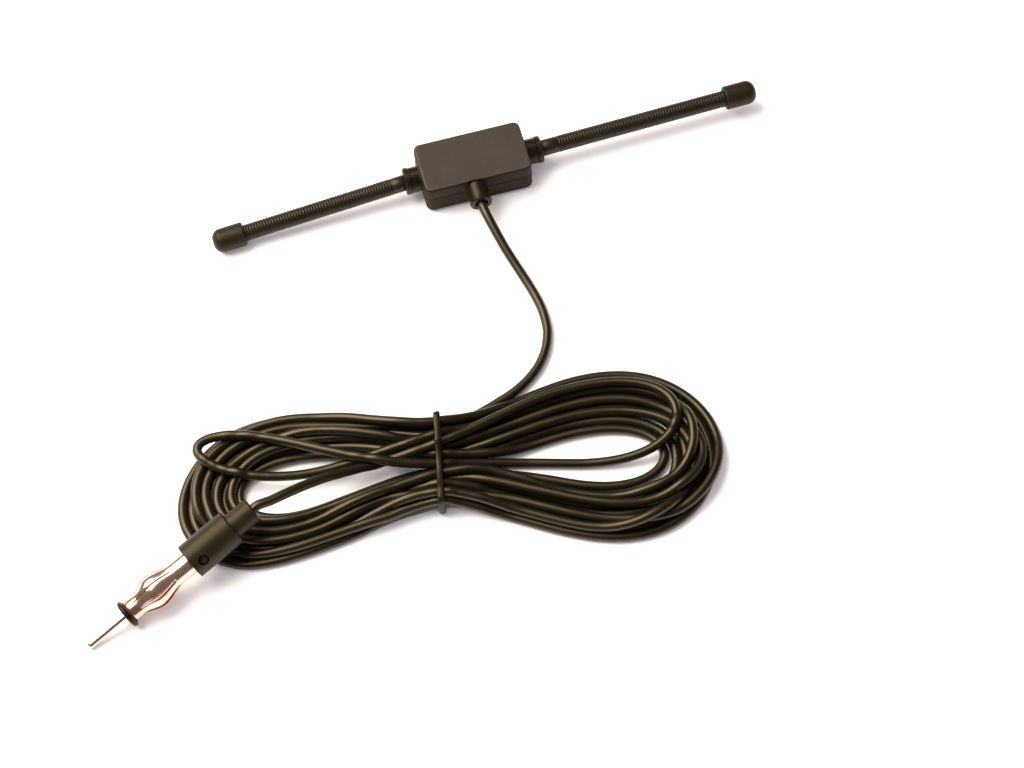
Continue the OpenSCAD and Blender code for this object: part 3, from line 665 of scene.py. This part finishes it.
def ring_faces(n, sides):
    """The faces between n rings of points, the last ring joined to the first one."""
    return [(k * sides + j, k * sides + (j + 1) % sides, (k + 1) % n * sides + (j + 1) % sides,
             (k + 1) % n * sides + j) for k in range(n) for j in range(sides)]


def add_mesh(name, verts, faces, look, node, marks=None):
    """A smooth visual piece in place of a solid, given in millimetres."""
    mesh = bpy.data.meshes.new(name)
    mesh.from_pydata([tuple(v) for v in np.asarray(verts) * MM], [], faces)
    for key, values in (marks or {}).items():
        mesh.attributes.new(key, "FLOAT", "POINT").data.foreach_set("value", np.asarray(values, float))
    mesh.update()
    edit = bmesh.new()
    edit.from_mesh(mesh)
    bmesh.ops.remove_doubles(edit, verts=edit.verts, dist=1e-6)
    bmesh.ops.recalc_face_normals(edit, faces=edit.faces)
    edit.to_mesh(mesh)
    edit.free()
    mesh.polygons.foreach_set("use_smooth", [True] * len(mesh.polygons))
    mesh.update()
    obj = bpy.data.objects.new(name, mesh)
    bpy.context.collection.objects.link(obj)
    dress(obj, look, node)
    return obj


def dress(obj, look, node):
    """Gives a new piece its finish, hangs it on the root body and hides the solid that it stands for."""
    put(obj, look)
    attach(obj, "root")
    if node:
        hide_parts(node)


def make_tie():
    """A closed strap with an oval section, wide along X."""
    p = closed_curve(tie_route(), 4)
    n = len(p)
    tangent = np.roll(p, -1, 0) - np.roll(p, 1, 0)
    tangent /= np.linalg.norm(tangent, axis=1, keepdims=True)
    across = np.tile([1.0, 0, 0], (n, 1))
    across -= tangent * (across * tangent).sum(1, keepdims=True)
    across /= np.linalg.norm(across, axis=1, keepdims=True)
    out = np.cross(across, tangent)
    angle = np.linspace(0, 2 * math.pi, STRAP_SIDES, endpoint=False)
    wide, thick = [np.sign(v) * np.abs(v) ** 0.8 for v in (np.cos(angle), np.sin(angle))]
    verts = (p[:, None, :] + STRAP_HALF_W * wide[None, :, None] * across[:, None, :]
             + STRAP_HALF_T * thick[None, :, None] * out[:, None, :]).reshape(-1, 3)
    return add_mesh("tie_strap", verts, ring_faces(n, STRAP_SIDES), "tie", "hank_tie")


tie = make_tie()


# ---------------------------------------------------------------- turned pieces
def axes_of(axis):
    """An axis and two directions square to it, the first one as upright as it can be."""
    axis = np.asarray(axis, float) / np.linalg.norm(axis)
    first = np.array([0, 0, 1.0]) - axis * axis[2]
    first /= np.linalg.norm(first)
    return axis, first, np.cross(axis, first)


def spin_piece(name, outline, origin, axis, sides, look, node=None, marks=None):
    """A closed outline (place along the axis, radius) spun once round the axis, in millimetres."""
    axis, first, _ = axes_of(axis)
    mesh = bpy.data.meshes.new(name)
    points = [(np.asarray(origin) + t * axis + r * first) * MM for t, r in outline]
    n = len(points)
    mesh.from_pydata([tuple(v) for v in points], [(k, (k + 1) % n) for k in range(n)], [])
    for key, values in (marks or {}).items():
        mesh.attributes.new(key, "FLOAT", "POINT").data.foreach_set("value", np.asarray(values, float))
    obj = bpy.data.objects.new(name, mesh)
    bpy.context.collection.objects.link(obj)
    bpy.ops.object.select_all(action="DESELECT")
    obj.select_set(True)
    bpy.context.view_layer.objects.active = obj
    bpy.ops.object.mode_set(mode="EDIT")
    bpy.ops.mesh.select_all(action="SELECT")
    bpy.ops.mesh.spin(steps=sides, angle=2 * math.pi, center=tuple(np.asarray(origin) * MM), axis=tuple(axis))
    bpy.ops.mesh.select_all(action="SELECT")
    bpy.ops.mesh.remove_doubles(threshold=1e-6)
    bpy.ops.mesh.normals_make_consistent(inside=False)
    bpy.ops.mesh.faces_shade_smooth()
    bpy.ops.object.mode_set(mode="OBJECT")
    obj.select_set(False)
    dress(obj, look, node)


ARM_X, ARM_PIVOT, ARM_Z, ARM_BORE_R = 29.4, 24.85, 9.2, 1.3
RIB_R, RIB_DEPTH, RIB_PITCH, RIB_STEPS = 3.5, 0.45, 1.2, (0, 0.07, 0.17, 0.33, 0.5, 0.67, 0.83, 0.93)


def make_arm(name, side, droop, swing, root_l, ribs):
    """A smooth root against the flange, then round ribs with narrow grooves."""
    d, w = math.radians(droop), math.radians(swing)
    axis = np.array([side * math.cos(d) * math.cos(w), side * math.cos(d) * math.sin(w), -math.sin(d)])
    origin = np.array([side * ARM_PIVOT, 0, ARM_Z]) - axis * ARM_PIVOT
    start, root_end = ARM_X + 0.02, ARM_X + root_l
    low = RIB_R - RIB_DEPTH
    outline = [(start, ARM_BORE_R), (start, RIB_R - 0.25), (start + 0.2, RIB_R - 0.08),
               (root_end - 0.25, RIB_R - 0.1)]
    groove = [0.0] * len(outline)
    for i in range(ribs):
        for u in RIB_STEPS:
            crest = (1 - abs(2 * u - 1) ** 3.2) ** 0.5
            outline.append((root_end + (i + u) * RIB_PITCH, low + RIB_DEPTH * crest))
            groove.append(1 - crest)
    tip = root_end + ribs * RIB_PITCH
    outline += [(tip, low), (tip + 4.9, low), (tip + 4.9, ARM_BORE_R)]
    groove += [1.0, 0.0, 0.0]
    spin_piece(name + "_skin", outline, origin, axis, 36, "arm", name, {"groove": groove})


make_arm("left_arm", -1, 2.8, 2.8, 5.8, 53)
make_arm("right_arm", 1, 0, 1.9, 7.4, 61)


BULGE_FROM, BULGE_TOP, BULGE_TO, SHELL_TO = 24.3, 33, 44, 57
SHELL_FRONT_R, SHELL_REAR_R, SHELL_WALL = 4.5, 4.75, 0.6
SLIT_FROM, SLIT_TO, SLIT_END_W = 24.8, 42.0, 0.35
# The width of each slit at the bulge, in millimetres, from the top round
SLIT_W = [0.8, 1.0, 2.2, 0.8, 0.8, 0.8, 0.8, 0.7]


def shell_radius(t):
    """Outer radius of the spring shell, by the distance from the tip of the pin."""
    if t < BULGE_FROM:
        return SHELL_FRONT_R
    if t < BULGE_TOP:
        swell = (1 - math.cos(math.pi * (t - BULGE_FROM) / (BULGE_TOP - BULGE_FROM))) / 2
        return SHELL_FRONT_R + (BULGE_R - SHELL_FRONT_R) * swell
    if t < BULGE_TO:
        swell = (1 + math.cos(math.pi * (t - BULGE_TOP) / (BULGE_TO - BULGE_TOP))) / 2
        return SHELL_REAR_R + (BULGE_R - SHELL_REAR_R) * swell
    return SHELL_REAR_R


def make_shell():
    """The spring shell with its leaves, each slit as wide as the photograph shows."""
    axis, up, side = axes_of(PLUG_AXIS)
    leaves, columns = len(SLIT_W), 10
    rows = np.concatenate([[SHELL_FROM + 0.52, 22, 23.4, BULGE_FROM, SLIT_FROM - 0.02],
                           np.linspace(SLIT_FROM, SLIT_TO, 34),
                           [SLIT_TO + 0.02, 42.6, 43.3, BULGE_TO, 46, 49, 53, SHELL_TO]])
    verts, faces, edge = [], [], []
    for leaf in range(leaves):
        base = len(verts)
        for t in rows:
            slit = SLIT_FROM - 0.01 < t < SLIT_TO + 0.01
            u = (t - SLIT_FROM) / (SLIT_TO - SLIT_FROM)
            open_by = math.sin(math.pi * min(max(u, 0), 1)) ** 0.8
            r = shell_radius(t)
            gap = [(SLIT_END_W + (w - SLIT_END_W) * open_by) / r / 2 if slit else 0.0
                   for w in (SLIT_W[leaf], SLIT_W[(leaf + 1) % leaves])]
            a0 = 2 * math.pi * leaf / leaves + gap[0]
            a1 = 2 * math.pi * (leaf + 1) / leaves - gap[1]
            for c in range(columns + 1):
                v = 0.5 - 0.5 * math.cos(math.pi * c / columns)
                a = a0 + (a1 - a0) * v
                near = abs(2 * v - 1) ** 6 if slit else 0.0
                rr = r - 0.12 * near
                verts.append(PLUG_TIP + t * axis + rr * (math.cos(a) * up + math.sin(a) * side))
                # How much of the painted copper reflection each point gets: full at the slits' edges, about
                # half in front of the slits, a little behind them.
                edge.append(near if slit else (0.55 if t < SLIT_FROM else 0.15))
        for k in range(len(rows) - 1):
            for c in range(columns):
                a = base + k * (columns + 1) + c
                faces.append((a, a + 1, a + columns + 2, a + columns + 1))
    shell = add_mesh("plug_leaves", verts, faces, "nickel", "plug_shell", {"edge": edge})
    bpy.context.view_layer.objects.active = shell
    wall = shell.modifiers.new("wall", "SOLIDIFY")
    wall.thickness, wall.offset = SHELL_WALL * MM, -1
    with bpy.context.temp_override(object=shell, active_object=shell, selected_objects=[shell]):
        bpy.ops.object.modifier_apply(modifier=wall.name)
    return shell


shell = make_shell()

# The thicker lip at the gland's mouth
GLAND_AXIS_FROM, GLAND_AXIS = (-1.5, 0, 11.4), (0, -1, 0)
GLAND_LIP = [(19.0, 4.35), (19.0, 4.45), (19.25, 4.62), (20.0, 4.66), (20.35, 4.5), (20.48, 4.2),
             (20.5, 3.2), (20.2, 2.9), (19.0, 2.85)]
spin_piece("gland_rim", GLAND_LIP, GLAND_AXIS_FROM, GLAND_AXIS, 48, "collar")


# ---------------------------------------------------------------- floor and light
FLOOR_HALF = 4
LIGHT_PLACE, LIGHT_AIM = (-0.62, 0.36, 1.06), (-0.03, -0.09, 0)
LIGHT_SIZE, LIGHT_POWER, LIGHT_COLOUR = 1.1, 36, (1.0, 0.91, 0.79)
# What each kind of ray finds past the floor: colour and strength
FILL, DARK_ROOM, WHITE = ((1.0, 0.93, 0.96), 0.85), ((1.0, 0.62, 0.42), 0.06), ((1, 1, 1), 1.0)


def make_floor():
    """A plain pale card."""
    h = FLOOR_HALF
    mesh = bpy.data.meshes.new("floor")
    mesh.from_pydata([(-h, -h, 0), (h, -h, 0), (h, h, 0), (-h, h, 0)], [], [(0, 1, 2, 3)])
    floor = bpy.data.objects.new("floor", mesh)
    bpy.context.collection.objects.link(floor)
    look = Finish("floor_card", Roughness=0.9)
    look.set("Base Color", look.blend(look.noise(3, 2), (0.90, 0.895, 0.895), (0.915, 0.91, 0.91)))
    mesh.materials.append(look.material)


def make_light():
    """One large soft light from behind on the left."""
    data = bpy.data.lights.new("key", "AREA")
    data.size, data.energy, data.color = LIGHT_SIZE, LIGHT_POWER, LIGHT_COLOUR
    light = bpy.data.objects.new("key", data)
    light.location = LIGHT_PLACE
    light.rotation_euler = (Vector(LIGHT_AIM) - Vector(LIGHT_PLACE)).to_track_quat("-Z", "Y").to_euler()
    bpy.context.collection.objects.link(light)


def make_world():
    """White where the camera looks past everything, dark brown in reflections and a pale fill otherwise."""
    world = bpy.data.worlds.new("studio")
    bpy.context.scene.world = world
    world.use_nodes = True
    tree = world.node_tree
    tree.nodes.clear()
    rays = tree.nodes.new("ShaderNodeLightPath")
    out = tree.nodes.new("ShaderNodeOutputWorld")
    last = None
    for kind, (colour, strength) in ((None, FILL), ("Is Glossy Ray", DARK_ROOM),
                                     ("Is Transmission Ray", WHITE), ("Is Camera Ray", WHITE)):
        sky = tree.nodes.new("ShaderNodeBackground")
        sky.inputs["Color"].default_value = (*colour, 1)
        sky.inputs["Strength"].default_value = strength
        if kind:
            mix = tree.nodes.new("ShaderNodeMixShader")
            tree.links.new(rays.outputs[kind], mix.inputs["Fac"])
            tree.links.new(last.outputs[0], mix.inputs[1])
            tree.links.new(sky.outputs[0], mix.inputs[2])
            sky = mix
        last = sky
    tree.links.new(last.outputs[0], out.inputs["Surface"])


make_floor()
make_light()
make_world()
bpy.context.scene.view_settings.view_transform = "Standard"
